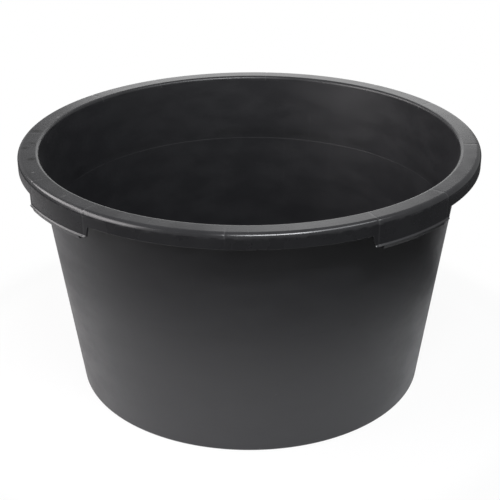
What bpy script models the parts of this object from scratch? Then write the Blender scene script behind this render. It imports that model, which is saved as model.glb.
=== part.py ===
"""Round mortar mixing tub of black plastic, with four finger grips under its rim.

Metres, +Z up. The origin is on the ground at the middle of the base. The grips
sit on the X and Y axes. The tub is one moulding, and each object here is one of
its moulded features: floor, foot, wall, rim, grips and the webs behind them.
"""
import math

import bmesh
import bpy

# Overall sizes
RIM_DIAMETER = 0.670        # outside of the rim skirt
HEIGHT = 0.3675             # ground to the flat top of the rim
BASE_DIAMETER = 0.523       # outer wall carried down to the ground plane
RIM_OVERHANG = 0.0252       # outer wall, carried up to the rim plane, to the skirt's outside

# Wall, floor and foot
WALL = 0.0045               # measured level, not square to the slope
FLOOR = 0.0040
FLOOR_LIFT = 0.0020         # hollow under the floor, inside the foot
BASE_EDGE_RADIUS = 0.0040   # outer edge at the ground
CORNER_RADIUS = 0.0100      # inside, where the floor turns up into the wall
FOOT_BAND = 0.0040          # straight wall above that corner that belongs to the foot

# Rim
RIM_WALL = 0.0030           # flat top, shoulder and skirt
SHOULDER_RADIUS = 0.0072    # flat top to skirt
LIP_RADIUS = 0.0050         # inner edge of the flat top
LIP_BAND = 0.0020           # straight wall below that edge that belongs to the rim
SKIRT_DEPTH = 0.0215        # rim top to the skirt's lower edge

# Grips
GRIP_SIDES = ("right", "back", "left", "front")   # +X, +Y, -X and -Y
GRIP_LENGTH = 0.1428        # straight across, end to end
GRIP_DEPTH = 0.0370         # rim top to the grip tab's lower edge
GRIP_END_SLANT = 0.0030     # each end leans in by this on its way down
GRIP_CORNER_RADIUS = 0.0030
GRIP_LIP = 0.0024           # the tab's lower edge stands out by this
GRIP_LIP_START = 0.0042     # lower edge up to where the lip starts
GRIP_LIP_FULL = 0.0016      # lower edge up to where the lip is full
BAR_LENGTH = 0.1140         # finger bar under the tab's lower edge, straight across
BAR_WIDTH = 0.0104          # outside of the lip to the bar's inner face
BAR_DEPTH = 0.0046          # tab's lower edge to the bar's underside
BAR_LEAN = 0.0018           # the bar's outer face leans in by this on its way down
BAR_EDGE_RADIUS = 0.0025    # lower edge on the finger side
WEB = 0.0025                # thickness of the webs
WEB_INSET = 0.0080          # tab end to the middle of the grip web
WEB_DEPTH = 0.0190          # rim top to the foot of a web

# Making
SEGMENTS = 96               # facets round the tub
ARC_STEPS = 4               # facets along each small radius
GAP = 0.0003                # left between features that meet
CUT_MARGIN = 0.0200         # how far a cutter runs past what it cuts
MERGE = 0.00001             # points nearer than this are one

# Sizes that follow
RIM_RADIUS = RIM_DIAMETER / 2
BASE_RADIUS = BASE_DIAMETER / 2
SLOPE = (RIM_RADIUS - RIM_OVERHANG - BASE_RADIUS) / HEIGHT
LEAN = math.atan(SLOPE)
FLOOR_TOP = FLOOR_LIFT + FLOOR
FOOT_TOP = FLOOR_TOP + CORNER_RADIUS + FOOT_BAND
RIM_UNDERSIDE = HEIGHT - RIM_WALL
RIM_SEAT = HEIGHT - LIP_RADIUS - LIP_BAND
SKIRT_INSIDE = RIM_RADIUS - RIM_WALL
SKIRT_BOTTOM = HEIGHT - SKIRT_DEPTH
TAB_TOP = SKIRT_BOTTOM - GAP
TAB_BOTTOM = HEIGHT - GRIP_DEPTH
LIP_OUTSIDE = RIM_RADIUS + GRIP_LIP
BAR_TOP = TAB_BOTTOM - GAP
BAR_BOTTOM = TAB_BOTTOM - BAR_DEPTH
BAR_ANGLE = math.asin(BAR_LENGTH / 2 / LIP_OUTSIDE)
GRIP_WEB_ANGLE = math.asin((GRIP_LENGTH / 2 - WEB_INSET) / RIM_RADIUS)
GRIP_STEP = 2 * math.pi / len(GRIP_SIDES)

# Look of the plastic
PLASTIC_COLOR = (0.028, 0.028, 0.030, 1.0)
PLASTIC_ROUGHNESS = 0.42


def outer_wall(z):
    """Outside radius of the wall at height z."""
    return BASE_RADIUS + SLOPE * z


def inner_wall(z):
    """Inside radius of the wall at height z."""
    return outer_wall(z) - WALL


def arc(center_r, center_z, radius, start, end):
    """Points (r, z) along an arc, both ends included; angles in radians."""
    points = []
    for step in range(ARC_STEPS + 1):
        angle = start + (end - start) * step / ARC_STEPS
        points.append((center_r + radius * math.cos(angle), center_z + radius * math.sin(angle)))
    return points


def clear_scene():
    for item in list(bpy.data.objects):
        bpy.data.objects.remove(item)


def make_collection(name):
    collection = bpy.data.collections.new(name)
    bpy.context.scene.collection.children.link(collection)
    return collection


def plastic(name):
    """Satin black plastic, one material for each feature."""
    material = bpy.data.materials.new(name + "_plastic")
    material.use_nodes = True
    shader = material.node_tree.nodes["Principled BSDF"]
    shader.inputs["Base Color"].default_value = PLASTIC_COLOR
    shader.inputs["Roughness"].default_value = PLASTIC_ROUGHNESS
    shader.inputs["Metallic"].default_value = 0.0
    return material


def finish_piece(piece, angle=0.0):
    """Give a piece its material, turn it about the tub's axis and hang it on the axis empty."""
    piece.data.materials.clear()
    piece.data.materials.append(plastic(piece.name))
    piece.rotation_euler = (0.0, 0.0, angle)
    piece.parent = axis_empty
    return piece


def new_object(name, mesh, collection):
    item = bpy.data.objects.new(name, mesh)
    collection.objects.link(item)
    return item


def turned(name, profile, collection):
    """Ring turned about Z from a closed profile of (r, z) points, outer side downwards."""
    mesh = bpy.data.meshes.new(name)
    ring = bmesh.new()
    verts = [ring.verts.new((r, 0.0, z)) for r, z in profile]
    for first, second in zip(verts, verts[1:] + verts[:1]):
        ring.edges.new((first, second))
    ring.to_mesh(mesh)
    ring.free()
    item = new_object(name, mesh, collection)
    screw = item.modifiers.new("Turn", "SCREW")
    screw.axis = "Z"
    screw.angle = 2 * math.pi
    screw.steps = SEGMENTS
    screw.render_steps = SEGMENTS
    screw.use_merge_vertices = True
    screw.merge_threshold = MERGE
    screw.use_smooth_shade = True
    return item


def baked(item, name):
    """Mesh of an object as its modifiers leave it, with its place kept and its seams welded."""
    bpy.context.view_layer.update()
    evaluated = item.evaluated_get(bpy.context.evaluated_depsgraph_get())
    mesh = bpy.data.meshes.new_from_object(evaluated)
    mesh.name = name
    mesh.transform(item.matrix_world)
    welded = bmesh.new()
    welded.from_mesh(mesh)
    bmesh.ops.remove_doubles(welded, verts=welded.verts, dist=MERGE)
    welded.to_mesh(mesh)
    welded.free()
    bpy.data.objects.remove(item)
    return mesh


def slab(name, outline, half_depth, rotation, location, collection):
    """Flat outline given a thickness: a closed 2D curve, filled and extruded, as a mesh."""
    curve = bpy.data.curves.new(name, "CURVE")
    curve.dimensions = "2D"
    curve.fill_mode = "BOTH"
    curve.extrude = half_depth
    spline = curve.splines.new("POLY")
    spline.points.add(len(outline) - 1)
    for point, (u, v) in zip(spline.points, outline):
        point.co = (u, v, 0.0, 1.0)
    spline.use_cyclic_u = True
    flat = new_object(name, curve, collection)
    flat.rotation_euler = rotation
    flat.location = location
    return new_object(name, baked(flat, name), collection)


def kept_within(item, cutter):
    """Keep only what lies inside the cutter."""
    cutter.hide_render = True
    cutter.display_type = "WIRE"
    boolean = item.modifiers.new("Ends", "BOOLEAN")
    boolean.operation = "INTERSECT"
    boolean.object = cutter


def floor_plate():
    """Flat disc inside the foot, lifted clear of the ground."""
    radius = floor_corner()[0] - GAP
    bpy.ops.mesh.primitive_cylinder_add(
        vertices=SEGMENTS, radius=radius, depth=FLOOR, location=(0.0, 0.0, FLOOR_LIFT + FLOOR / 2))
    plate = bpy.context.object
    plate.name = "floor_plate"
    for holder in list(plate.users_collection):
        holder.objects.unlink(plate)
    tub.objects.link(plate)
    return finish_piece(plate)


def floor_corner():
    """Centre (r, z) of the inside corner between floor and wall."""
    center_z = FLOOR_TOP + CORNER_RADIUS
    return inner_wall(center_z) - CORNER_RADIUS / math.cos(LEAN), center_z


def foot_ring():
    """Base corner of the tub: outer edge, the flat it stands on and the inside corner."""
    edge_z = BASE_EDGE_RADIUS
    edge_r = outer_wall(edge_z) - BASE_EDGE_RADIUS / math.cos(LEAN)
    corner_r, corner_z = floor_corner()
    profile = [(outer_wall(FOOT_TOP), FOOT_TOP)]
    profile += arc(edge_r, edge_z, BASE_EDGE_RADIUS, -LEAN, -math.pi / 2)
    profile += [(corner_r + FLOOR_LIFT, 0.0), (corner_r, FLOOR_LIFT)]
    profile += arc(corner_r, corner_z, CORNER_RADIUS, -math.pi / 2, -LEAN)
    profile += [(inner_wall(FOOT_TOP), FOOT_TOP)]
    return finish_piece(turned("foot_ring", profile, tub))


def side_wall():
    """Leaning wall from the foot up to the rim."""
    low = FOOT_TOP + GAP
    high = RIM_SEAT - GAP
    profile = [
        (outer_wall(high), high),
        (outer_wall(low), low),
        (inner_wall(low), low),
        (inner_wall(high), high),
    ]
    return finish_piece(turned("side_wall", profile, tub))


def rim_flange():
    """Flat rim top with its rounded outer shoulder, and the rounded lip that seats on the wall."""
    shoulder_r = RIM_RADIUS - SHOULDER_RADIUS
    shoulder_z = HEIGHT - SHOULDER_RADIUS
    lip_z = HEIGHT - LIP_RADIUS
    lip_r = inner_wall(lip_z) + LIP_RADIUS / math.cos(LEAN)
    profile = arc(shoulder_r, shoulder_z, SHOULDER_RADIUS, math.pi / 2, 0.0)
    profile += arc(shoulder_r, shoulder_z, SHOULDER_RADIUS - RIM_WALL, 0.0, math.pi / 2)
    profile += [
        (outer_wall(RIM_UNDERSIDE), RIM_UNDERSIDE),
        (outer_wall(RIM_SEAT), RIM_SEAT),
        (inner_wall(RIM_SEAT), RIM_SEAT),
    ]
    profile += arc(lip_r, lip_z, LIP_RADIUS, math.pi - LEAN, math.pi / 2)
    return finish_piece(turned("rim_flange", profile, tub))


def rim_skirt():
    """Upright band that hangs from the shoulder all round."""
    high = HEIGHT - SHOULDER_RADIUS - GAP
    profile = [
        (RIM_RADIUS, high),
        (RIM_RADIUS, SKIRT_BOTTOM),
        (SKIRT_INSIDE, SKIRT_BOTTOM),
        (SKIRT_INSIDE, high),
    ]
    return finish_piece(turned("rim_skirt", profile, tub))


def tab_outline():
    """Front view (y, z) of a grip tab: slanted ends and rounded lower corners, open above."""
    half = GRIP_LENGTH / 2
    tilt = math.atan2(GRIP_END_SLANT, TAB_TOP - TAB_BOTTOM)
    center_z = TAB_BOTTOM + GRIP_CORNER_RADIUS
    end_y = half - GRIP_END_SLANT * (TAB_TOP - center_z) / (TAB_TOP - TAB_BOTTOM)
    center_y = end_y - GRIP_CORNER_RADIUS / math.cos(tilt)
    side = arc(center_y, center_z, GRIP_CORNER_RADIUS, -math.pi / 2, -tilt)
    side += [(half, TAB_TOP), (half, TAB_TOP + CUT_MARGIN)]
    return side + [(-y, z) for y, z in reversed(side)]


def tab_mesh():
    """Grip tab on +X: a ring with a lip at its lower edge, cut to the tab's outline."""
    low = TAB_BOTTOM - CUT_MARGIN
    profile = [
        (RIM_RADIUS, TAB_TOP),
        (RIM_RADIUS, TAB_BOTTOM + GRIP_LIP_START),
        (LIP_OUTSIDE, TAB_BOTTOM + GRIP_LIP_FULL),
        (LIP_OUTSIDE, low),
        (SKIRT_INSIDE, low),
        (SKIRT_INSIDE, TAB_TOP),
    ]
    ring = turned("tab_ring", profile, tub)
    depth = GRIP_LENGTH / 2
    facing_x = (math.pi / 2, 0.0, math.pi / 2)
    kept_within(ring, slab("tab_cutter", tab_outline(), depth, facing_x, (RIM_RADIUS, 0.0, 0.0), cutters))
    return baked(ring, "grip_tab")


def bar_mesh():
    """Finger bar on +X: a ring under the tab's lower edge, cut to the bar's length."""
    inside = LIP_OUTSIDE - BAR_WIDTH
    profile = [(LIP_OUTSIDE, BAR_TOP), (LIP_OUTSIDE - BAR_LEAN, BAR_BOTTOM)]
    edge_z = BAR_BOTTOM + BAR_EDGE_RADIUS
    profile += arc(inside + BAR_EDGE_RADIUS, edge_z, BAR_EDGE_RADIUS, -math.pi / 2, -math.pi)
    profile += [(inside, BAR_TOP)]
    ring = turned("bar_ring", profile, tub)
    far_x = RIM_DIAMETER * math.cos(BAR_ANGLE)
    far_y = RIM_DIAMETER * math.sin(BAR_ANGLE)
    wedge = [(0.0, 0.0), (far_x, -far_y), (far_x, far_y)]
    middle = (0.0, 0.0, (BAR_TOP + BAR_BOTTOM) / 2)
    kept_within(ring, slab("bar_cutter", wedge, BAR_DEPTH, (0.0, 0.0, 0.0), middle, cutters))
    return baked(ring, "finger_bar")


def web_mesh():
    """Upright plate on +X from the wall out to the skirt, under the rim."""
    low = HEIGHT - WEB_DEPTH
    high = RIM_UNDERSIDE - GAP
    outside = SKIRT_INSIDE - GAP
    corner_r = RIM_RADIUS - SHOULDER_RADIUS
    corner_z = HEIGHT - SHOULDER_RADIUS
    corner = arc(corner_r, corner_z, SHOULDER_RADIUS - RIM_WALL - GAP, 0.0, math.pi / 2)
    outline = [(outer_wall(low) + GAP, low), (outside, low)]
    outline += corner
    outline += [(outer_wall(high) + GAP, high)]
    upright = (math.pi / 2, 0.0, 0.0)
    plate = slab("web", outline, WEB / 2, upright, (0.0, 0.0, 0.0), tub)
    mesh = plate.data
    bpy.data.objects.remove(plate)
    return mesh


def grips():
    """Four grips, each with its tab, finger bar and two webs, and a rim web midway to the next."""
    tab = tab_mesh()
    bar = bar_mesh()
    web = web_mesh()
    for number, side in enumerate(GRIP_SIDES):
        angle = number * GRIP_STEP
        finish_piece(new_object("grip_tab_" + side, tab.copy(), tub), angle)
        finish_piece(new_object("finger_bar_" + side, bar.copy(), tub), angle)
        finish_piece(new_object("grip_web_" + side + "_a", web.copy(), tub), angle - GRIP_WEB_ANGLE)
        finish_piece(new_object("grip_web_" + side + "_b", web.copy(), tub), angle + GRIP_WEB_ANGLE)
        finish_piece(new_object("rim_web_" + side, web.copy(), tub), angle + GRIP_STEP / 2)


clear_scene()
tub = make_collection("Mortar mixing tub")
cutters = make_collection("Cutters")
axis_empty = new_object("tub_axis", None, tub)
floor_plate()
foot_ring()
side_wall()
rim_flange()
rim_skirt()
grips()
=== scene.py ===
import math

import bmesh
import bpy
from mathutils import Matrix, Vector


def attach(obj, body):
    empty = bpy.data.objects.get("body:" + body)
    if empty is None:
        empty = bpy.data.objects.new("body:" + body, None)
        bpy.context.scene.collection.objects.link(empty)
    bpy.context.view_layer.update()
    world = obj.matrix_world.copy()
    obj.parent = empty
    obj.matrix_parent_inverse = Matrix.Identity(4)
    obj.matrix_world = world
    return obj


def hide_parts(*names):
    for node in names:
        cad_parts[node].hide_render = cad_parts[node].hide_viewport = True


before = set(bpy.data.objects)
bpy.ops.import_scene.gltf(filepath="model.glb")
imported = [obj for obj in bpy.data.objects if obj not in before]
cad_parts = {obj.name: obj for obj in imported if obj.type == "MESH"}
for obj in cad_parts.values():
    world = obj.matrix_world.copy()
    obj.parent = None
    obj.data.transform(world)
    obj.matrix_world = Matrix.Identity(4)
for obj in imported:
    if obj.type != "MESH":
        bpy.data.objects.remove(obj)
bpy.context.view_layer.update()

print("frame loaded:", len(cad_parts), "moulded features")


# sizes shared by the pieces, in metres
tub = {
    "rimRadius": 0.335,
    "height": 0.3675,
    "baseRadius": 0.2615,
    "overhang": 0.0252,      # outer wall carried up to the rim plane, to the skirt
    "wall": 0.0045,
    "rimWall": 0.0030,
    "shoulder": 0.0072,      # rounding from the flat top to the skirt
    "lip": 0.0050,           # rounding from the flat top to the inside
    "lipBand": 0.0020,       # straight stretch of the rim below the inner lip
    "grips": 4,
    "gripLength": 0.1428,
    "webInset": 0.0080,
}
wallSlope = (tub["rimRadius"] - tub["overhang"] - tub["baseRadius"]) / tub["height"]
wallLean = math.atan(wallSlope)
rimSeat = tub["height"] - tub["lip"] - tub["lipBand"]
rimUnderside = tub["height"] - tub["rimWall"]
shoulderFoot = tub["height"] - tub["shoulder"]
gripStep = 2 * math.pi / tub["grips"]
webAngle = math.asin((tub["gripLength"] / 2 - tub["webInset"]) / tub["rimRadius"])
# sink marks over the webs, on the rim and down the skirt
sink = {
    "depth": 0.00020,
    "width": 0.0016,
    "reach": 4,              # widths to each side of a web that are drawn finely
    "facing": -0.05,         # a face that points further down than this stays flat
}
# how the meshes are joined and shaded
meshing = {
    "crease": math.radians(35),
    "weld": 0.000002,
    "copyWeld": 0.00001,
    "level": 0.0000001,      # a stretch that climbs less than this is level
}


def outerWall(z):
    return tub["baseRadius"] + wallSlope * z


def innerWall(z):
    return outerWall(z) - tub["wall"]


flatFrom = innerWall(tub["height"]) + tub["lip"]    # radius where the inner lip ends and the flat top starts


def arcPoints(r, z, radius, start, end, steps):
    return [(r + radius * math.cos(start + (end - start) * k / steps),
             z + radius * math.sin(start + (end - start) * k / steps)) for k in range(steps + 1)]


def withSupports(points, near, longEnough):
    # extra points just inside both ends of every long straight stretch keep its shading flat
    full = []
    for here, there in zip(points, points[1:]):
        full.append(here)
        length = math.dist(here, there)
        if length > longEnough:
            share = near / length
            for t in (share, 1 - share):
                full.append((here[0] + (there[0] - here[0]) * t, here[1] + (there[1] - here[1]) * t))
    return full + [points[-1]]


# node helpers, shared by the shapes and the plastics

class Wiring:
    def __init__(self, tree):
        self.tree = tree

    def node(self, kind, **settings):
        made = self.tree.nodes.new(kind)
        for key, value in settings.items():
            setattr(made, key, value)
        return made

    def join(self, source, target):
        self.tree.links.new(source, target)

    def feed(self, socket, value):
        if isinstance(value, bpy.types.NodeSocket):
            self.join(value, socket)
        else:
            socket.default_value = value

    def make(self, kind, given, **settings):
        # a node with its inputs given by name
        made = self.node(kind, **settings)
        for label, value in given.items():
            self.feed(made.inputs[label], value)
        return made.outputs

    def fill(self, kind, values, **settings):
        # a node with its inputs given in order
        made = self.node(kind, **settings)
        for socket, value in zip(made.inputs, values):
            self.feed(socket, value)
        return made.outputs

    def math(self, operation, *values):
        return self.fill("ShaderNodeMath", values, operation=operation)[0]

    def vector(self, operation, *values):
        outputs = self.fill("ShaderNodeVectorMath", values, operation=operation)
        return outputs["Value" if operation in ("LENGTH", "DISTANCE") else "Vector"]

    def combine(self, x, y, z):
        return self.fill("ShaderNodeCombineXYZ", (x, y, z))[0]

    def parts(self, vector):
        return self.fill("ShaderNodeSeparateXYZ", (vector,))

    def scaled(self, vector, factor):
        return self.make("ShaderNodeVectorMath", {"Vector": vector, "Scale": factor}, operation="SCALE")[0]

    def ramp(self, value, low, high):
        # smooth rise from 0 at low to 1 at high
        return self.fill("ShaderNodeMapRange", (value, low, high), interpolation_type="SMOOTHSTEP")[0]

    def bell(self, value):
        # 1 at zero, falling off the same way on both sides
        return self.math("EXPONENT", self.math("MULTIPLY", self.math("MULTIPLY", value, value), -1.0))

    def plus(self, base, mask, share):
        return self.math("ADD", base, self.math("MULTIPLY", mask, share))

    def noise(self, vector, scale, detail):
        return self.make("ShaderNodeTexNoise", {"Vector": vector, "Scale": scale, "Detail": detail})[0]

    def blend(self, share, first, second):
        mixed = self.make("ShaderNodeMix", {"Factor": share, "A": first, "B": second}, data_type="RGBA")
        return mixed["Result"]

    def rays(self):
        # what the camera sees, and what is seen in a reflection
        path = self.node("ShaderNodeLightPath").outputs
        mirrored = self.math("MAXIMUM", path["Is Glossy Ray"], path["Is Transmission Ray"])
        return path["Is Camera Ray"], mirrored


class Shading(Wiring):
    def __init__(self, name):
        self.material = bpy.data.materials.new(name)
        self.material.use_nodes = True
        super().__init__(self.material.node_tree)
        self.shader = self.tree.nodes["Principled BSDF"]

    def group(self, tree, given):
        return self.make("ShaderNodeGroup", given, node_tree=tree)


def newNet(name, kind, inputs, outputs):
    tree = bpy.data.node_groups.new(name, kind)
    for direction, sockets in (("INPUT", inputs), ("OUTPUT", outputs)):
        for label, socket in sockets:
            tree.interface.new_socket(label, in_out=direction, socket_type="NodeSocket" + socket)
    net = Wiring(tree)
    return net, net.node("NodeGroupInput").outputs, net.node("NodeGroupOutput").inputs


def newShape(name, inputs):
    geometry = ("Geometry", "Geometry")
    return newNet(name, "GeometryNodeTree", [geometry] + inputs, [geometry])


def newGroup(name, inputs, outputs):
    return newNet(name, "ShaderNodeTree", inputs, outputs)


def webTurns(net, angle, step, webTurn):
    # angles from a place on the rim to the nearest grip web and to the nearest web between grips
    halfStep = net.math("MULTIPLY", step, 0.5)
    folded = net.math("ABSOLUTE", net.math("WRAP", angle, halfStep, net.math("MULTIPLY", halfStep, -1.0)))
    toGripWeb = net.math("ABSOLUTE", net.math("SUBTRACT", folded, webTurn))
    return toGripWeb, net.math("SUBTRACT", halfStep, folded)


# shapes that follow a rule: a turned section, and a piece repeated about the tub's axis

def smoothAndPaint(net, geometry, crease, material, out):
    smooth = net.make("GeometryNodeSetShadeSmooth", {"Geometry": geometry}, domain="FACE")
    edgeAngle = net.node("GeometryNodeInputMeshEdgeAngle").outputs["Unsigned Angle"]
    sharp = net.fill("FunctionNodeCompare", (edgeAngle, crease), data_type="FLOAT", operation="GREATER_THAN")
    split = net.make("GeometryNodeSetShadeSmooth", {
        "Geometry": smooth[0], "Selection": sharp[0], "Shade Smooth": False}, domain="EDGE")
    real = net.make("GeometryNodeRealizeInstances", {"Geometry": split[0]})
    paint = net.make("GeometryNodeSetMaterial", {"Geometry": real[0], "Material": material})
    net.join(paint[0], out[0])


def makeTurnedTree():
    # turns a drawn section, whose points lie in order in the XZ plane, and presses in the sink marks
    net, given, out = newShape("turnedSection", [
        ("Segments", "Int"), ("Closed", "Bool"), ("Crease", "Float"), ("Weld", "Float"),
        ("Web Angle", "Float"), ("Grip Step", "Float"), ("Sink Depth", "Float"), ("Sink Width", "Float"),
        ("Sink From", "Float"), ("Sink Facing", "Float"), ("Material", "Material")])
    drawn = net.make("GeometryNodeAttributeDomainSize", {"Geometry": given["Geometry"]}, component="MESH")
    rows = net.math("ADD", drawn["Point Count"], given["Closed"])
    columns = net.math("ADD", given["Segments"], 1.0)
    grid = net.make("GeometryNodeMeshGrid", {"Vertices X": rows, "Vertices Y": columns})
    index = net.node("GeometryNodeInputIndex").outputs[0]
    row = net.math("FLOOR", net.math("DIVIDE", net.math("ADD", index, 0.5), columns))
    column = net.math("SUBTRACT", index, net.math("MULTIPLY", row, columns))
    sample = net.make("GeometryNodeSampleIndex", {
        "Geometry": given["Geometry"], "Value": net.node("GeometryNodeInputPosition").outputs[0],
        "Index": net.math("FLOORED_MODULO", row, drawn["Point Count"])},
        data_type="FLOAT_VECTOR", domain="POINT")
    angle = net.math("MULTIPLY", column, net.math("DIVIDE", 2 * math.pi, given["Segments"]))
    turn = net.make("ShaderNodeVectorRotate", {"Vector": sample[0], "Angle": angle}, rotation_type="Z_AXIS")
    place = net.make("GeometryNodeSetPosition", {"Geometry": grid["Mesh"], "Position": turn[0]})
    weld = net.make("GeometryNodeMergeByDistance", {"Geometry": place[0], "Distance": given["Weld"]})

    # distance along the rim to the nearest web, then a soft hollow that follows the surface
    position = net.parts(net.node("GeometryNodeInputPosition").outputs[0])
    normal = net.node("GeometryNodeInputNormal").outputs[0]
    around = net.math("ARCTAN2", position["Y"], position["X"])
    nearest = net.math("MINIMUM", *webTurns(net, around, given["Grip Step"], given["Web Angle"]))
    radius = net.vector("LENGTH", net.combine(position["X"], position["Y"], 0.0))
    away = net.math("DIVIDE", net.math("MULTIPLY", nearest, radius), given["Sink Width"])
    outside = net.math("GREATER_THAN", net.parts(normal)["Z"], given["Sink Facing"])
    beyondLip = net.math("GREATER_THAN", radius, given["Sink From"])
    share = net.math("MULTIPLY", net.math("MULTIPLY", net.bell(away), outside), beyondLip)
    depth = net.math("MULTIPLY", net.math("MULTIPLY", share, given["Sink Depth"]), -1.0)
    press = net.make("GeometryNodeSetPosition", {"Geometry": weld[0], "Offset": net.scaled(normal, depth)})
    smoothAndPaint(net, press[0], given["Crease"], given["Material"], out)
    return net.tree


def makeRepeatTree():
    # repeats one drawn piece evenly about Z and welds the copies that touch
    net, given, out = newShape("repeatedAboutAxis", [
        ("Count", "Int"), ("Weld", "Float"), ("Crease", "Float"), ("Material", "Material")])
    line = net.make("GeometryNodeMeshLine", {
        "Count": given["Count"], "Offset": (0.0, 0.0, 0.0)}, mode="OFFSET")
    index = net.node("GeometryNodeInputIndex").outputs[0]
    angle = net.math("MULTIPLY", index, net.math("DIVIDE", 2 * math.pi, given["Count"]))
    spin = net.fill("FunctionNodeEulerToRotation", (net.combine(0.0, 0.0, angle),))
    copies = net.make("GeometryNodeInstanceOnPoints", {
        "Points": line[0], "Instance": given["Geometry"], "Rotation": spin[0]})
    real = net.make("GeometryNodeRealizeInstances", {"Geometry": copies[0]})
    weld = net.make("GeometryNodeMergeByDistance", {"Geometry": real[0], "Distance": given["Weld"]})
    smoothAndPaint(net, weld[0], given["Crease"], given["Material"], out)
    return net.tree


turnedTree = makeTurnedTree()
repeatTree = makeRepeatTree()


def grown(name, mesh, tree, values):
    # runs a tree on a drawn mesh and keeps the result as a plain mesh
    piece = bpy.data.objects.new(name, mesh)
    bpy.context.scene.collection.objects.link(piece)
    modifier = piece.modifiers.new("Grow", "NODES")
    modifier.node_group = tree
    for socket in tree.interface.items_tree:
        if socket.item_type == "SOCKET" and socket.in_out == "INPUT" and socket.name in values:
            modifier[socket.identifier] = values[socket.name]
    bpy.context.view_layer.update()
    plain = bpy.data.meshes.new_from_object(piece.evaluated_get(bpy.context.evaluated_depsgraph_get()))
    plain.name = name
    piece.modifiers.remove(modifier)
    piece.data = plain
    return piece


def sectionMesh(name, points):
    mesh = bpy.data.meshes.new(name)
    mesh.from_pydata([(r, 0.0, z) for r, z in points], [(k, k + 1) for k in range(len(points) - 1)], [])
    return mesh


def turned(name, points, closed, segments, sinkDepth, material):
    return grown(name, sectionMesh(name + "_section", points), turnedTree, {
        "Segments": segments, "Closed": closed, "Crease": meshing["crease"], "Weld": meshing["weld"],
        "Web Angle": webAngle, "Grip Step": gripStep, "Sink Depth": sinkDepth, "Sink Width": sink["width"],
        "Sink From": flatFrom, "Sink Facing": sink["facing"], "Material": material})


def repeated(name, mesh, material):
    return grown(name, mesh, repeatTree, {
        "Count": tub["grips"], "Weld": meshing["copyWeld"], "Crease": meshing["crease"],
        "Material": material})


def nodesNamed(*starts):
    return [node for node in sorted(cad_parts) if node.startswith(starts)]


def facesOutward(piece):
    box = bmesh.new()
    box.from_mesh(piece.data)
    if box.calc_volume(signed=True) < 0:
        bmesh.ops.reverse_faces(box, faces=box.faces)
        box.to_mesh(piece.data)
    openEdges = sum(1 for edge in box.edges if not edge.is_manifold)
    print("  ", piece.name, len(box.faces), "faces,", openEdges, "open edges")
    box.free()


def finishPiece(piece, *nodes):
    facesOutward(piece)
    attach(piece, "root")
    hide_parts(*nodes)


# shader groups shared by the plastics

skin = {
    "fineDetail": 2.0,
    "rippleDetail": 1.0,
    "rippleScale": 0.22,     # how often the ripple comes against the fine grain
    "rippleShare": 0.6,
    "streakDetail": 1.0,
    "streakBare": 0.74,      # noise level that starts a streak where nothing is covered
    "streakGain": 0.3,       # full cover lowers that level by this
    "streakSoft": 0.12,
    "cloudDetail": 4.0,
    "cloudLow": 0.32,
    "cloudHigh": 0.68,
    "fleckCore": 0.5,        # share of a fleck that is full
    "wearDetail": 3.0,
    "wearLow": 0.40,
    "wearHigh": 0.66,
    "middle": 0.5,           # noise level that leaves the roughness as it is
    "roughest": 0.9,
    "black": (0.0, 0.0, 0.0, 1.0),
}


def makePolarGroup():
    # radius, height and angle about the tub's axis, and a direction that has no seam
    net, given, out = newGroup("tubPolar", [("Object", "Vector")], [
        ("Direction", "Vector"), ("Radius", "Float"), ("Height", "Float"), ("Angle", "Float")])
    part = net.parts(given["Object"])
    flat = net.combine(part["X"], part["Y"], 0.0)
    net.join(net.vector("NORMALIZE", flat), out["Direction"])
    net.join(net.vector("LENGTH", flat), out["Radius"])
    net.join(part["Z"], out["Height"])
    net.join(net.math("ARCTAN2", part["Y"], part["X"]), out["Angle"])
    return net.tree


def makeGrainGroup():
    # uneven skin of a moulding: fine grain over a slower ripple
    net, given, out = newGroup("mouldedGrain", [
        ("Object", "Vector"), ("Size", "Float")], [("Grain", "Float")])
    often = net.math("DIVIDE", 1.0, given["Size"])
    fine = net.noise(given["Object"], often, skin["fineDetail"])
    seldom = net.math("MULTIPLY", often, skin["rippleScale"])
    ripple = net.noise(given["Object"], seldom, skin["rippleDetail"])
    fineShare = net.math("MULTIPLY", fine, 1.0 - skin["rippleShare"])
    net.join(net.plus(fineShare, ripple, skin["rippleShare"]), out["Grain"])
    return net.tree


def makeStreakGroup():
    # thin lines drawn along one way, at an even width all round the tub
    net, given, out = newGroup("drawnStreaks", [
        ("Direction", "Vector"), ("Along", "Float"), ("Width", "Float"), ("Length", "Float"),
        ("Cover", "Float")], [("Streaks", "Float")])
    spread = net.scaled(given["Direction"], net.math("DIVIDE", tub["rimRadius"], given["Width"]))
    along = net.math("DIVIDE", given["Along"], given["Length"])
    lines = net.noise(net.vector("ADD", spread, net.combine(0.0, 0.0, along)), 1.0, skin["streakDetail"])
    edge = net.math("SUBTRACT", skin["streakBare"], net.math("MULTIPLY", given["Cover"], skin["streakGain"]))
    net.join(net.ramp(lines, edge, net.math("ADD", edge, skin["streakSoft"])), out["Streaks"])
    return net.tree


def makeCloudGroup():
    # soft cloudy patches where the gloss and the tone differ
    net, given, out = newGroup("dullClouds", [
        ("Object", "Vector"), ("Size", "Float"), ("Flatten", "Float")], [("Clouds", "Float")])
    squeeze = net.vector("MULTIPLY", given["Object"], net.combine(1.0, 1.0, given["Flatten"]))
    clouds = net.noise(squeeze, net.math("DIVIDE", 1.0, given["Size"]), skin["cloudDetail"])
    net.join(net.ramp(clouds, skin["cloudLow"], skin["cloudHigh"]), out["Clouds"])
    return net.tree


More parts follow.
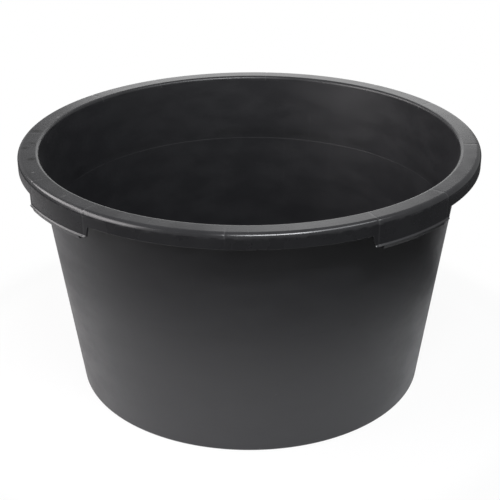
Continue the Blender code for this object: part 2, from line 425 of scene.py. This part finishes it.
def makeFleckGroup():
    # a few small rubbed specks, each in its own cell
    net, given, out = newGroup("lightFlecks", [
        ("Object", "Vector"), ("Spacing", "Float"), ("Size", "Float"), ("Share", "Float")],
        [("Flecks", "Float")])
    cells = net.make("ShaderNodeTexVoronoi", {
        "Vector": given["Object"], "Scale": net.math("DIVIDE", 1.0, given["Spacing"])})
    chance = net.fill("ShaderNodeSeparateColor", (cells["Color"],))
    reach = net.math("MULTIPLY", net.math("DIVIDE", given["Size"], given["Spacing"]), chance["Green"])
    beyond = net.ramp(cells["Distance"], net.math("MULTIPLY", reach, skin["fleckCore"]), reach)
    kept = net.math("LESS_THAN", chance["Red"], given["Share"])
    net.join(net.math("MULTIPLY", net.math("SUBTRACT", 1.0, beyond), kept), out["Flecks"])
    return net.tree


def makeRubGroup():
    # one rubbed spot: a place across the surface and an angle round the tub, as long and as wide as given
    net, given, out = newGroup("rubbedSpot", [
        ("Across", "Float"), ("Radius", "Float"), ("Angle", "Float"), ("At", "Float"), ("At Angle", "Float"),
        ("Length", "Float"), ("Width", "Float")], [("Spot", "Float")])
    across = net.math("DIVIDE", net.math("SUBTRACT", given["Across"], given["At"]), given["Length"])
    turn = net.math("WRAP", net.math("SUBTRACT", given["Angle"], given["At Angle"]), math.pi, -math.pi)
    along = net.math("DIVIDE", net.math("MULTIPLY", turn, given["Radius"]), given["Width"])
    far = net.math("ADD", net.math("MULTIPLY", across, across), net.math("MULTIPLY", along, along))
    net.join(net.math("EXPONENT", net.math("MULTIPLY", far, -1.0)), out["Spot"])
    return net.tree


def makeWebHighlightGroup():
    # thin lighter lines on the outside over every web, a painted highlight on the sink marks, at a share of
    # their strength between the grips
    net, given, out = newGroup("webHighlights", [
        ("Radius", "Float"), ("Angle", "Float"), ("Web Angle", "Float"), ("Grip Step", "Float"),
        ("Width", "Float"), ("Rim Share", "Float")], [("Marks", "Float")])
    bands = []
    for turn in webTurns(net, given["Angle"], given["Grip Step"], given["Web Angle"]):
        away = net.math("DIVIDE", net.math("MULTIPLY", turn, given["Radius"]), given["Width"])
        bands.append(net.bell(away))
    net.join(net.math("MAXIMUM", bands[0], net.math("MULTIPLY", bands[1], given["Rim Share"])), out["Marks"])
    return net.tree


def makeLevelBandGroup():
    # patchy band along one level, for wear such as an edge or a ring rubbed by another tub, and for painted
    # highlight and painted shade
    net, given, out = newGroup("levelWearAndLight", [
        ("Object", "Vector"), ("Height", "Float"), ("Level", "Float"), ("Reach", "Float"),
        ("Patch", "Float")], [("Band", "Float")])
    away = net.math("DIVIDE", net.math("SUBTRACT", given["Height"], given["Level"]), given["Reach"])
    patches = net.noise(given["Object"], net.math("DIVIDE", 1.0, given["Patch"]), skin["wearDetail"])
    worn = net.ramp(patches, skin["wearLow"], skin["wearHigh"])
    net.join(net.math("MULTIPLY", net.bell(away), worn), out["Band"])
    return net.tree


polarGroup = makePolarGroup()
grainGroup = makeGrainGroup()
streakGroup = makeStreakGroup()
cloudGroup = makeCloudGroup()
fleckGroup = makeFleckGroup()
rubGroup = makeRubGroup()
webHighlightGroup = makeWebHighlightGroup()
levelBandGroup = makeLevelBandGroup()


# black plastics: the same mix with its own gloss and wear on the walls, the rim and the grips, with some
# painted highlight and painted shade

wallLook = {
    "darkTone": (0.0168, 0.0170, 0.0189, 1.0),
    "lightTone": (0.0200, 0.0202, 0.0223, 1.0),
    "scuffAndHighlightTone": (0.060, 0.060, 0.063, 1.0),
    # painted shade: the inside of the wall is drawn darker than the outside
    "insidePaintedShade": 0.18,
    "specular": 0.5,
    "roughness": 0.42,
    "cloudSize": 0.060, "cloudFlatten": 2.4, "cloudRough": 0.06,
    "grainSize": 0.0016, "grainHeight": 0.000014, "grainRough": 0.08,
    "streaksRun": "Height", "streakWidth": 0.0019, "streakLength": 0.11, "streakCover": 0.30,
    "streakTone": 0.12, "streakRough": 0.06, "streakHeight": 0.000003,
    "fleckSpacing": 0.030, "fleckSize": 0.0014, "fleckShare": 0.12, "fleckTone": 0.40,
    "webHighlight": 0.0,
    "dullShare": 0.0,        # how much of the gloss the darkened marks lose
    "lipRough": 0.0,         # roughness added where the inner lip is rubbed
    # bands along one level, for wear and for painted highlight and painted shade: height, reach up and down,
    # patch size, tone added (or taken away), side of the wall
    "levelBands": {
        # ring left by nested tubs: partly wear, partly a painted highlight for the lit edge of its step
        "nestedRingAndHighlight": (0.2627, 0.0007, 0.050, 0.21, "inside"),
        # painted shade: a darker band just above the nested ring
        "paintedShadeAboveRing": (0.2720, 0.0080, 0.110, -0.30, "inside"),
        "rubbedRing": (0.1960, 0.0010, 0.030, -0.16, "outside"),
    },
    # rubbed spots: height, degrees round, length up, width along, tone added (or taken away), pitting
    "rubsAcross": "Height",
    "rubs": {
        "dot": (0.0998, -32.6, 0.0009, 0.0011, 0.50, 0.0),
        "blot": (0.1968, -11.2, 0.0030, 0.0050, -0.22, 0.0),
        "dashA": (0.1947, -23.7, 0.0007, 0.0014, -0.45, 0.0),
        "dashB": (0.1960, -25.9, 0.0006, 0.0014, -0.35, 0.0),
        "dashC": (0.1951, -20.4, 0.0006, 0.0016, -0.35, 0.0),
        "dashRight": (0.1972, -2.0, 0.0018, 0.0060, -0.16, 0.0),
        # a nick: the dark spot is its painted shade, the light one is the scratch itself
        "nickPaintedShade": (0.3268, -78.0, 0.0016, 0.0034, -0.60, 0.0),
        "nickLight": (0.3252, -77.2, 0.0018, 0.0012, 0.60, 0.0),
    },
}
rimLook = {
    "darkTone": (0.0172, 0.0174, 0.0189, 1.0),
    "lightTone": (0.0208, 0.0210, 0.0227, 1.0),
    "scuffAndHighlightTone": (0.130, 0.130, 0.132, 1.0),
    "insidePaintedShade": 0.0,
    "specular": 0.5,
    "roughness": 0.21,
    "cloudSize": 0.030, "cloudFlatten": 1.0, "cloudRough": 0.06,
    "grainSize": 0.0024, "grainHeight": 0.000003, "grainRough": 0.03,
    "streaksRun": "Radius", "streakWidth": 0.0015, "streakLength": 0.016, "streakCover": 0.40,
    "streakTone": 0.05, "streakRough": 0.05, "streakHeight": 0.000002,
    "fleckSpacing": 0.024, "fleckSize": 0.0014, "fleckShare": 0.10, "fleckTone": 0.45,
    # painted highlight over the sink marks of the webs
    "webHighlight": 0.20, "webHighlightWidth": 0.0009, "rimWebShare": 1.0,
    "dullShare": 0.65,
    "lipRough": 0.13,
    # patchy edge wear along the shoulder, strengthened as a painted highlight
    "levelBands": {"shoulderWearAndHighlight": (0.3607, 0.0013, 0.011, 0.15, "outside")},
    # rubbed spots: radius, degrees round, length across the rim, width along it, tone added (or taken away)
    # and pitting
    "rubsAcross": "Radius",
    "rubs": {
        "dullLong": (0.3205, -136.4, 0.0085, 0.0052, -0.95, 0.00003),
        "dullOuter": (0.3244, -123.6, 0.0050, 0.0042, -0.90, 0.00003),
        "dullInner": (0.3155, -115.3, 0.0055, 0.0044, -1.00, 0.00003),
        "dullMid": (0.3160, -127.0, 0.0046, 0.0036, -0.70, 0.00002),
        "paleLip": (0.3112, -148.5, 0.0018, 0.0022, 1.0, 0.0),
        "paleFleck": (0.3225, -106.0, 0.0016, 0.0015, 0.9, 0.0),
        "paleDash": (0.3216, -88.3, 0.0050, 0.0009, 0.35, 0.0),
        # painted highlight over this web's sink mark
        "webSinkHighlight": (0.3165, -10.9, 0.0070, 0.0010, 0.32, 0.0),
    },
}
gripLook = dict(rimLook, roughness=0.28, cloudSize=0.045, streaksRun="Height", streakLength=0.02,
                streakCover=0.30, streakTone=0.04, fleckShare=0.06, webHighlight=0.12, rimWebShare=0.2,
                dullShare=0.0, lipRough=0.0, rubs={})


def makePlastic(name, look):
    net = Shading(name)
    coords = net.node("ShaderNodeTexCoord").outputs["Object"]
    polar = net.group(polarGroup, {"Object": coords})
    clouds = net.group(cloudGroup, {
        "Object": coords, "Size": look["cloudSize"], "Flatten": look["cloudFlatten"]})["Clouds"]
    grain = net.group(grainGroup, {"Object": coords, "Size": look["grainSize"]})["Grain"]
    streaks = net.group(streakGroup, {
        "Direction": polar["Direction"], "Along": polar[look["streaksRun"]], "Width": look["streakWidth"],
        "Length": look["streakLength"], "Cover": look["streakCover"]})["Streaks"]
    flecks = net.group(fleckGroup, {
        "Object": coords, "Spacing": look["fleckSpacing"], "Size": look["fleckSize"],
        "Share": look["fleckShare"]})["Flecks"]
    brokenStreaks = net.math("MULTIPLY", streaks, clouds)
    foot = net.math("SUBTRACT", polar["Radius"], net.math("MULTIPLY", polar["Height"], wallSlope))
    sides = {"inside": net.math("LESS_THAN", foot, tub["baseRadius"] - tub["wall"] / 2)}
    sides["outside"] = net.math("SUBTRACT", 1.0, sides["inside"])

    rough = net.plus(look["roughness"], net.math("SUBTRACT", clouds, skin["middle"]), look["cloudRough"])
    rough = net.plus(rough, net.math("SUBTRACT", grain, skin["middle"]), look["grainRough"])
    rough = net.plus(rough, brokenStreaks, look["streakRough"])
    if look["lipRough"]:
        onLip = net.ramp(polar["Radius"], flatFrom, flatFrom - tub["lip"] / 2)
        rough = net.plus(rough, onLip, look["lipRough"])
    height = net.plus(net.math("MULTIPLY", grain, look["grainHeight"]), streaks, look["streakHeight"])

    # marks with a tone above zero lighten the plastic, the others darken it; some are wear, some are painted
    # highlight and painted shade
    marks = []
    # painted highlight along the sink marks of the webs
    if look["webHighlight"]:
        marks.append((look["webHighlight"], net.group(webHighlightGroup, {
            "Radius": polar["Radius"], "Angle": polar["Angle"], "Web Angle": webAngle, "Grip Step": gripStep,
            "Width": look["webHighlightWidth"], "Rim Share": look["rimWebShare"]})["Marks"]))
    for level, reach, patch, tone, side in look["levelBands"].values():
        levelBand = net.group(levelBandGroup, {
            "Object": coords, "Height": polar["Height"], "Level": level, "Reach": reach,
            "Patch": patch})["Band"]
        marks.append((tone, net.math("MULTIPLY", levelBand, sides[side])))
    for at, degrees, length, width, tone, pit in look["rubs"].values():
        spot = net.group(rubGroup, {
            "Across": polar[look["rubsAcross"]], "Radius": polar["Radius"], "Angle": polar["Angle"],
            "At": at, "At Angle": math.radians(degrees), "Length": length, "Width": width})["Spot"]
        marks.append((tone, net.math("MULTIPLY", spot, sides["outside"])))
        if pit:
            height = net.plus(height, net.math("MULTIPLY", spot, grain), pit)
    light = net.plus(net.math("MULTIPLY", brokenStreaks, look["streakTone"]), flecks, look["fleckTone"])
    # painted shade on the inside of the wall first, then the darkening marks
    dark = net.math("MULTIPLY", sides["inside"], look["insidePaintedShade"])
    for tone, mask in marks:
        if tone > 0:
            light = net.plus(light, mask, tone)
        else:
            dark = net.plus(dark, mask, -tone)
    dark = net.math("MINIMUM", dark, 1.0)

    sockets = net.shader.inputs
    base = net.blend(clouds, look["darkTone"], look["lightTone"])
    base = net.blend(dark, base, skin["black"])
    net.join(net.blend(net.math("MINIMUM", light, 1.0), base, look["scuffAndHighlightTone"]), sockets["Base Color"])
    net.join(net.math("MINIMUM", rough, skin["roughest"]), sockets["Roughness"])
    if look["dullShare"]:
        net.join(net.math("MULTIPLY", dark, look["dullShare"]), sockets["Metallic"])
    bump = net.make("ShaderNodeBump", {"Height": height, "Distance": 1.0})
    net.join(bump["Normal"], sockets["Normal"])
    sockets["Specular IOR Level"].default_value = look["specular"]
    return net.material


wallPlastic = makePlastic("wallPlastic", wallLook)
rimPlastic = makePlastic("rimPlastic", rimLook)
gripPlastic = makePlastic("gripPlastic", gripLook)
print("plastics mixed")


# tub body: foot, floor and leaning wall, turned from one section

body = {
    "floor": 0.0040,
    "floorLift": 0.0020,
    "baseEdge": 0.0040,
    "corner": 0.0100,
    "footStep": 0.0020,
    "ringLevel": 0.2624,     # shallow step inside the wall, left by nested tubs
    "ringStep": 0.00006,
    "ringRise": 0.00012,
    "ringTop": 0.2800,
    "segments": 720,
    "arcSteps": 10,
    "supportNear": 0.0006,
    "supportLength": 0.0025,
}


def bodySection():
    steps = body["arcSteps"]
    floorTop = body["floorLift"] + body["floor"]
    edgeZ = body["baseEdge"]
    edgeR = outerWall(edgeZ) - edgeZ / math.cos(wallLean)
    cornerZ = floorTop + body["corner"]
    cornerR = innerWall(cornerZ) - body["corner"] / math.cos(wallLean)
    section = [(0.0, floorTop)]
    section += arcPoints(cornerR, cornerZ, body["corner"], -math.pi / 2, -wallLean, steps)
    ring = body["ringLevel"]
    section += [(innerWall(ring), ring), (innerWall(ring) + body["ringStep"], ring + body["ringRise"]),
                (innerWall(body["ringTop"]), body["ringTop"])]
    section += [(innerWall(rimSeat), rimSeat), (outerWall(rimSeat), rimSeat)]
    section += arcPoints(edgeR, edgeZ, body["baseEdge"], -wallLean, -math.pi / 2, steps)
    section += [(cornerR + body["footStep"], 0.0), (cornerR, body["floorLift"]), (0.0, body["floorLift"])]
    return withSupports(section, body["supportNear"], body["supportLength"])


tubBody = turned("tub_body", bodySection(), False, body["segments"], 0.0, wallPlastic)
finishPiece(tubBody, "floor_plate", "foot_ring", "side_wall")
print("tub body turned")


# rim: inner lip, flat top and shoulder, with sink marks over the webs

rim = {
    "segments": 1440,
    "arcSteps": 10,
    "shoulderSteps": 14,
    "collarFillet": 0.0030,
    "collarSteps": 6,
    "supportNear": 0.0005,
    "supportLength": 0.0015,
}


def rimSection():
    steps = rim["arcSteps"]
    lipZ = tub["height"] - tub["lip"]
    lipR = innerWall(lipZ) + tub["lip"] / math.cos(wallLean)
    shoulderR = tub["rimRadius"] - tub["shoulder"]
    collar = rim["collarFillet"]
    collarZ = rimUnderside - collar
    collarR = outerWall(collarZ) + collar / math.cos(wallLean)
    section = [(innerWall(rimSeat), rimSeat)]
    section += arcPoints(lipR, lipZ, tub["lip"], math.pi - wallLean, math.pi / 2, steps)
    section += arcPoints(shoulderR, shoulderFoot, tub["shoulder"], math.pi / 2, 0.0, rim["shoulderSteps"])
    section += arcPoints(shoulderR, shoulderFoot, tub["shoulder"] - tub["rimWall"], 0.0, math.pi / 2, steps)
    section += arcPoints(collarR, collarZ, collar, math.pi / 2, math.pi - wallLean, rim["collarSteps"])
    section += [(outerWall(rimSeat), rimSeat), (innerWall(rimSeat), rimSeat)]
    return withSupports(section, rim["supportNear"], rim["supportLength"])[:-1]


rimTop = turned("rim_top", rimSection(), True, rim["segments"], sink["depth"], rimPlastic)
finishPiece(rimTop, "rim_flange")
print("rim turned")


# skirt with its four grip tabs: one quarter drawn flat, rounded along its lower edge and bent round the tub

skirt = {
    "depth": 0.0215,         # rim top to the lower edge
    "tabDepth": 0.0370,
    "tabSlant": 0.0030,      # each end leans in by this
    "tabCorner": 0.0024,
    "tabRoot": 0.0020,       # rounding where a tab end meets the skirt
    "edge": 0.0006,          # rounding of the skirt's lower edge
    "tabEdge": 0.0004,       # rounding of the tabs' lower edge
    "lip": 0.0023,           # the tabs' lower edge stands out by this
    "lipStart": 0.0026,      # how far up the lip starts to flare
    "lipFull": 0.0006,       # how far up it stands out fully
    "lipSteps": 6,
    "edgeSteps": 4,
    "cornerSteps": 10,
    "stride": math.radians(0.6),
    "webStride": 0.0005,     # spacing of the points near a web
    "support": 0.0004,
}


def filletCorner(before, corner, after, radius, steps):
    toBefore = (Vector(before) - Vector(corner)).normalized()
    toAfter = (Vector(after) - Vector(corner)).normalized()
    halfAngle = toBefore.angle(toAfter) / 2
    middle = Vector(corner) + (toBefore + toAfter).normalized() * radius / math.sin(halfAngle)
    first = Vector(corner) + toBefore * radius / math.tan(halfAngle) - middle
    last = Vector(corner) + toAfter * radius / math.tan(halfAngle) - middle
    turn = first.angle_signed(last)
    points = []
    for k in range(steps + 1):
        spoke = Matrix.Rotation(-turn * k / steps, 2) @ first
        points.append(tuple(middle + spoke))
    return points


def skirtOutline():
    radius = tub["rimRadius"]
    low = tub["height"] - skirt["depth"]
    tabLow = tub["height"] - skirt["tabDepth"]
    wide = radius * math.asin(tub["gripLength"] / 2 / radius)
    narrow = radius * math.asin((tub["gripLength"] / 2 - skirt["tabSlant"]) / radius)
    end = radius * gripStep / 2
    corners = [(-end, low), (-wide, low), (-narrow, tabLow), (narrow, tabLow), (wide, low), (end, low)]
    radii = [0, skirt["tabRoot"], skirt["tabCorner"], skirt["tabCorner"], skirt["tabRoot"], 0]
    path = [corners[0]]
    for k in range(1, len(corners) - 1):
        path += filletCorner(corners[k - 1], corners[k], corners[k + 1], radii[k], skirt["cornerSteps"])
    path.append(corners[-1])
    webs = [-radius * webAngle, radius * webAngle, -end, end]
    fine = skirt["webStride"]
    reach = int(sink["reach"] * sink["width"] / fine)
    full = [path[0]]
    for here, there in zip(path, path[1:]):
        level = abs(here[1] - there[1]) < meshing["level"]
        stops = {there[0]}
        if level:
            count = max(1, math.ceil((there[0] - here[0]) / (skirt["stride"] * radius)))
            stops |= {here[0] + (there[0] - here[0]) * k / count for k in range(1, count)}
            nearWebs = [middle + k * fine for middle in webs for k in range(-reach, reach + 1)]
            stops |= {stop for stop in nearWebs if here[0] + fine / 2 < stop < there[0] - fine / 2}
        ordered = sorted(stops)
        for stop in ordered:
            if stop - full[-1][0] > fine / 4 or not level or stop == ordered[-1]:
                share = (stop - here[0]) / (there[0] - here[0]) if level else 1.0
                full.append((stop, here[1] + (there[1] - here[1]) * share))
    return full


def sinkAt(along, z):
    # the hollow over a web between grips fades out on its way down the skirt
    radius = tub["rimRadius"]
    overGrip = (abs(along) - radius * webAngle) / sink["width"]
    overRim = (radius * gripStep / 2 - abs(along)) / sink["width"]
    low = tub["height"] - skirt["depth"]
    fade = min(1.0, max(0.0, (z - low) / (shoulderFoot - low)))
    return sink["depth"] * max(math.exp(-overGrip * overGrip), fade * math.exp(-overRim * overRim))


def skirtQuarter():
    outline = skirtOutline()
    radius = tub["rimRadius"]
    thick = tub["rimWall"]
    count = len(outline)
    inward = []
    for k in range(count):
        before = Vector(outline[max(k - 1, 0)])
        after = Vector(outline[min(k + 1, count - 1)])
        run = (after - before).normalized()
        inward.append(Vector((-run.y, run.x)))
    inward[0] = inward[-1] = Vector((0.0, 1.0))

    def edgeRows(z, upright):
        # offset into the skirt and depth behind its outer face, from the outer face round to the inner one
        low = tub["height"] - skirt["depth"]
        down = min(1.0, max(0.0, (low - z) / (skirt["tabDepth"] - skirt["depth"])))
        edge = skirt["edge"] + (skirt["tabEdge"] - skirt["edge"]) * down
        steps = skirt["edgeSteps"]
        quarter = [math.pi / 2 * k / steps for k in range(steps + 1)]
        outer = [(edge * (1 - math.sin(a)), edge * (1 - math.cos(a))) for a in quarter]
        inner = [(offset, thick - depth) for offset, depth in reversed(outer)]
        lip = skirt["lip"] * down * upright
        rise = [k / skirt["lipSteps"] for k in range(skirt["lipSteps"] + 1)]
        flare = [(skirt["lipStart"] + (skirt["lipFull"] - skirt["lipStart"]) * t, -lip * t * t * (3 - 2 * t))
                 for t in rise]
        outer = [(offset, depth - lip) for offset, depth in outer]
        return ([(skirt["lipStart"] + skirt["support"], 0.0)] + flare + outer + inner
                + [(edge + skirt["support"], thick)])

    def bent(along, z, depth):
        r = radius - depth
        if depth < thick / 2:
            r -= sinkAt(along, z)
        return (r * math.cos(along / radius), r * math.sin(along / radius), z)

    columns = []
    for point, into in zip(outline, inward):
        rows = edgeRows(point[1], max(0.0, into.y))
        near = skirt["edge"] + skirt["support"]
        top = point[0] + into.x * near
        column = [bent(top, shoulderFoot, 0.0)]
        for offset, depth in rows:
            aside = min(offset, near)
            column.append(bent(point[0] + into.x * aside, point[1] + into.y * aside + offset - aside, depth))
        columns.append(column + [bent(top, shoulderFoot, thick)])
    verts = [vert for band in zip(*columns) for vert in band]
    bands = len(columns[0])
    faces = []
    for band in range(bands):
        nextBand = (band + 1) % bands
        for k in range(count - 1):
            faces.append((band * count + k, band * count + k + 1,
                          nextBand * count + k + 1, nextBand * count + k))
    mesh = bpy.data.meshes.new("skirtQuarter")
    mesh.from_pydata(verts, [], faces)
    return mesh


gripSkirt = repeated("grip_skirt", skirtQuarter(), gripPlastic)
finishPiece(gripSkirt, "rim_skirt", *nodesNamed("grip_tab_"))
print("skirt and tabs bent")


# finger bars under the lower edge of the tabs

bar = {
    "length": 0.1140,        # straight across, end to end
    "width": 0.0102,
    "depth": 0.0042,         # tab's lower edge to the underside
    "lean": 0.0016,          # the outer face leans in by this on its way down
    "into": 0.0003,          # how far the bar runs up into the tab
    "outerEdge": 0.0006,
    "fingerEdge": 0.0025,
    "upperEdge": 0.0010,
    "edgeSteps": 6,
    "stride": math.radians(0.6),
}


def sweptArc(name, section, half, strides):
    # closed section (r, z) swept about Z from -half to +half and capped
    mesh = bmesh.new()
    rings = []
    for k in range(strides + 1):
        angle = -half + 2 * half * k / strides
        rings.append([mesh.verts.new((r * math.cos(angle), r * math.sin(angle), z)) for r, z in section])
    count = len(section)
    for first, second in zip(rings, rings[1:]):
        for k in range(count):
            mesh.faces.new((first[k], first[(k + 1) % count], second[(k + 1) % count], second[k]))
    mesh.faces.new(rings[0])
    mesh.faces.new(list(reversed(rings[-1])))
    bmesh.ops.recalc_face_normals(mesh, faces=mesh.faces)
    data = bpy.data.meshes.new(name)
    mesh.to_mesh(data)
    mesh.free()
    return data


def barSection():
    outside = tub["rimRadius"] + skirt["lip"]
    inside = outside - bar["width"]
    top = tub["height"] - skirt["tabDepth"] + bar["into"]
    low = tub["height"] - skirt["tabDepth"] - bar["depth"]
    big, small, steps = bar["fingerEdge"], bar["upperEdge"], bar["edgeSteps"]
    section = [(outside - bar["into"], top), (outside, top - bar["into"])]
    outerLow = (outside - bar["lean"], low)
    section += filletCorner(section[-1], outerLow, (inside, low), bar["outerEdge"], steps)
    section += arcPoints(inside + big, low + big, big, -math.pi / 2, -math.pi, steps)
    section += arcPoints(inside + small, top - small, small, math.pi, math.pi / 2, steps)
    return withSupports(section, rim["supportNear"], rim["supportLength"])


barHalf = math.asin(bar["length"] / 2 / (tub["rimRadius"] + skirt["lip"]))
barStrides = math.ceil(2 * barHalf / bar["stride"])
fingerBars = repeated("finger_bars", sweptArc("fingerBar", barSection(), barHalf, barStrides), gripPlastic)
finishPiece(fingerBars, *nodesNamed("finger_bar_"))
print("finger bars laid in")


# webs under the rim: two behind each grip and one between grips

web = {
    "thick": 0.0025,
    "depth": 0.0190,         # rim top to the foot of a web
    "into": 0.0006,          # how far a web runs into the wall, rim and skirt it is moulded to
    "edge": 0.0006,          # rounding of the foot
    "edgeSteps": 3,
    "edgeProfile": 0.5,      # a round profile
    "cornerSteps": 6,
}


def addWeb(mesh, angle):
    low = tub["height"] - web["depth"]
    outside = tub["rimRadius"] - tub["rimWall"] + web["into"]
    high = rimUnderside + web["into"]
    cornerR = tub["rimRadius"] - tub["shoulder"]
    inner = tub["shoulder"] - tub["rimWall"] + web["into"]
    outline = [(outerWall(low) - web["into"], low), (outside, low)]
    outline += arcPoints(cornerR, shoulderFoot, inner, 0.0, math.pi / 2, web["cornerSteps"])
    outline += [(outerWall(high) - web["into"], high)]
    turn = Matrix.Rotation(angle, 3, "Z")
    sides = []
    for offset in (-web["thick"] / 2, web["thick"] / 2):
        sides.append([mesh.verts.new(turn @ Vector((r, offset, z))) for r, z in outline])
    count = len(outline)
    for k in range(count):
        after = (k + 1) % count
        mesh.faces.new((sides[0][k], sides[0][after], sides[1][after], sides[1][k]))
    mesh.faces.new(sides[0])
    mesh.faces.new(list(reversed(sides[1])))
    lowEdges = [mesh.edges.get(side[:2]) for side in sides]
    bmesh.ops.bevel(mesh, geom=lowEdges, offset=web["edge"], segments=web["edgeSteps"], affect="EDGES",
                    profile=web["edgeProfile"])


def webSet():
    mesh = bmesh.new()
    for angle in (-webAngle, webAngle, gripStep / 2):
        addWeb(mesh, angle)
    bmesh.ops.recalc_face_normals(mesh, faces=mesh.faces)
    data = bpy.data.meshes.new("webSet")
    mesh.to_mesh(data)
    mesh.free()
    return data


rimWebs = repeated("rim_webs", webSet(), gripPlastic)
finishPiece(rimWebs, *nodesNamed("grip_web_", "rim_web_"))
print("webs set")


# studio: pale floor with pools of light painted on it and painted shade beyond, white surround, soft boxes
# and the camera of the picture

studio = {
    "floorSize": 9.0,
    "floorColor": (0.93, 0.93, 0.93, 1.0),
    "paintedShadeColor": (0.05, 0.05, 0.05, 1.0),
    # pools of light painted on the floor: middle, full out to, gone from, share
    # beyond them the floor is painted dark as painted shade, and the tub mirrors that dark floor
    "patches": {
        "around": ((-0.005, -0.022, 0.0), 0.42, 0.54, 1.0),
        "left": ((-0.505, -0.296, 0.0), 0.0, 0.90, 0.60),
        "right": ((-0.248, 0.673, 0.0), 0.0, 0.36, 0.45),
        "rightEdge": ((0.050, 0.620, 0.0), 0.09, 0.21, 0.95),
    },
    "floorWhite": 0.90,      # share of plain white that the camera sees on the pale floor
    "floorMirror": 0.02,     # share of plain white that reflections see on the floor
    "ambient": 0.18,
    "mirror": 0.38,          # share of the white surround that reflections see
    "cameraTurn": 50.35,     # degrees from the front grip to the viewer
    "cameraLift": 25.583,
    "cameraFar": 1.7835,
    "aimHeight": 0.1862,
    "cameraRoll": -0.383,
    "lens": 83.87,
    "sensor": 36.0,          # millimetres, as the lens is
    "clip": (0.05, 50.0),
    "boxAim": 0.7,           # share of the tub's height that the soft boxes point at
}
# soft boxes: degrees round from the viewer (to the viewer's right), degrees up, distance, width, height,
# watts, colour and degrees turned about its own middle
softBoxes = {
    "frontBox": (14.0, 53.0, 2.4, 1.0, 0.38, 36.0, (0.960, 0.970, 1.0), 0.0),
    "rightBox": (50.0, 56.0, 2.4, 1.5, 0.55, 16.0, (0.950, 0.970, 1.0), 0.0),
    "leftBox": (-90.0, 35.0, 2.4, 2.9, 0.95, 47.0, (1.0, 0.962, 0.970), 0.0),
    "lowLeftBox": (-66.0, 16.0, 2.4, 1.4, 0.9, 15.0, (1.0, 0.970, 0.980), 0.0),
    "backBox": (175.7, 13.0, 2.6, 1.48, 1.45, 7.7, (1.0, 1.0, 1.0), 49.0),
}


def makeFloor():
    half = studio["floorSize"] / 2
    corners = [(-half, -half, 0), (half, -half, 0), (half, half, 0), (-half, half, 0)]
    mesh = bpy.data.meshes.new("studioFloor")
    mesh.from_pydata(corners, [], [(0, 1, 2, 3)])
    floor = bpy.data.objects.new("studio_floor", mesh)
    bpy.context.scene.collection.objects.link(floor)
    net = Shading("paleFloor")
    net.tree.nodes.remove(net.shader)
    coords = net.node("ShaderNodeTexCoord").outputs["Object"]
    pale = 0.0
    # pools of light painted into the floor's colour, with painted shade outside them
    for middle, full, gone, patchShare in studio["patches"].values():
        reach = net.ramp(net.vector("DISTANCE", coords, middle), gone, full)
        pale = net.math("MAXIMUM", pale, net.math("MULTIPLY", reach, patchShare))
    matte = net.make("ShaderNodeBsdfDiffuse", {
        "Color": net.blend(pale, studio["paintedShadeColor"], studio["floorColor"])})
    white = net.node("ShaderNodeEmission").outputs
    middle, full, gone = studio["patches"]["around"][:3]
    fade = net.ramp(net.vector("DISTANCE", coords, middle), full, gone)
    seen = net.plus(studio["floorWhite"], fade, 1.0 - studio["floorWhite"])
    viewed, mirrored = net.rays()
    share = net.math("MAXIMUM", net.math("MULTIPLY", viewed, seen),
                     net.math("MULTIPLY", mirrored, studio["floorMirror"]))
    mix = net.fill("ShaderNodeMixShader", (share, matte[0], white[0]))
    net.join(mix[0], net.tree.nodes["Material Output"].inputs["Surface"])
    mesh.materials.append(net.material)


def makeWorld():
    world = bpy.data.worlds.new("studioWorld")
    bpy.context.scene.world = world
    world.use_nodes = True
    net = Wiring(world.node_tree)
    back = net.tree.nodes["Background"]
    back.inputs["Color"].default_value = (1.0, 1.0, 1.0, 1.0)
    viewed, mirrored = net.rays()
    level = net.math("MAXIMUM", net.math("MULTIPLY", mirrored, studio["mirror"]), studio["ambient"])
    net.join(net.math("MAXIMUM", level, viewed), back.inputs["Strength"])


def makeSoftBox(name, values):
    around, up, far, width, height, watts, color, roll = values
    turn = math.radians(studio["cameraTurn"] - 90 + around)
    rise = math.radians(up)
    aim = Vector((0.0, 0.0, tub["height"] * studio["boxAim"]))
    away = Vector((math.cos(turn) * math.cos(rise), math.sin(turn) * math.cos(rise), math.sin(rise)))
    lamp = bpy.data.lights.new(name, "AREA")
    lamp.shape = "RECTANGLE"
    lamp.size, lamp.size_y = width, height
    lamp.energy = watts
    lamp.color = color
    box = bpy.data.objects.new(name, lamp)
    bpy.context.scene.collection.objects.link(box)
    box.location = aim + away * far
    spin = Matrix.Rotation(math.radians(roll), 3, "Z")
    box.rotation_euler = (away.to_track_quat("Z", "Y").to_matrix() @ spin).to_euler()


def makeCamera():
    data = bpy.data.cameras.new("viewer")
    data.lens = studio["lens"]
    data.sensor_width = studio["sensor"]
    data.clip_start, data.clip_end = studio["clip"]
    camera = bpy.data.objects.new("viewer", data)
    bpy.context.scene.collection.objects.link(camera)
    lift = math.radians(studio["cameraLift"])
    forward = Vector((0.0, math.cos(lift), -math.sin(lift)))
    side = Vector((1.0, 0.0, 0.0))
    over = side.cross(forward)
    roll = math.radians(studio["cameraRoll"])
    side, over = (side * math.cos(roll) + over * math.sin(roll),
                  over * math.cos(roll) - side * math.sin(roll))
    place = Vector((0.0, 0.0, studio["aimHeight"])) - forward * studio["cameraFar"]
    basis = Matrix((side, over, -forward)).transposed().to_4x4()
    camera.matrix_world = (Matrix.Rotation(math.radians(studio["cameraTurn"]), 4, "Z")
                           @ Matrix.Translation(place) @ basis)
    bpy.context.scene.camera = camera


makeFloor()
makeWorld()
for boxName, boxValues in softBoxes.items():
    makeSoftBox(boxName, boxValues)
makeCamera()
bpy.context.scene.view_settings.view_transform = "Standard"
print("studio lit")
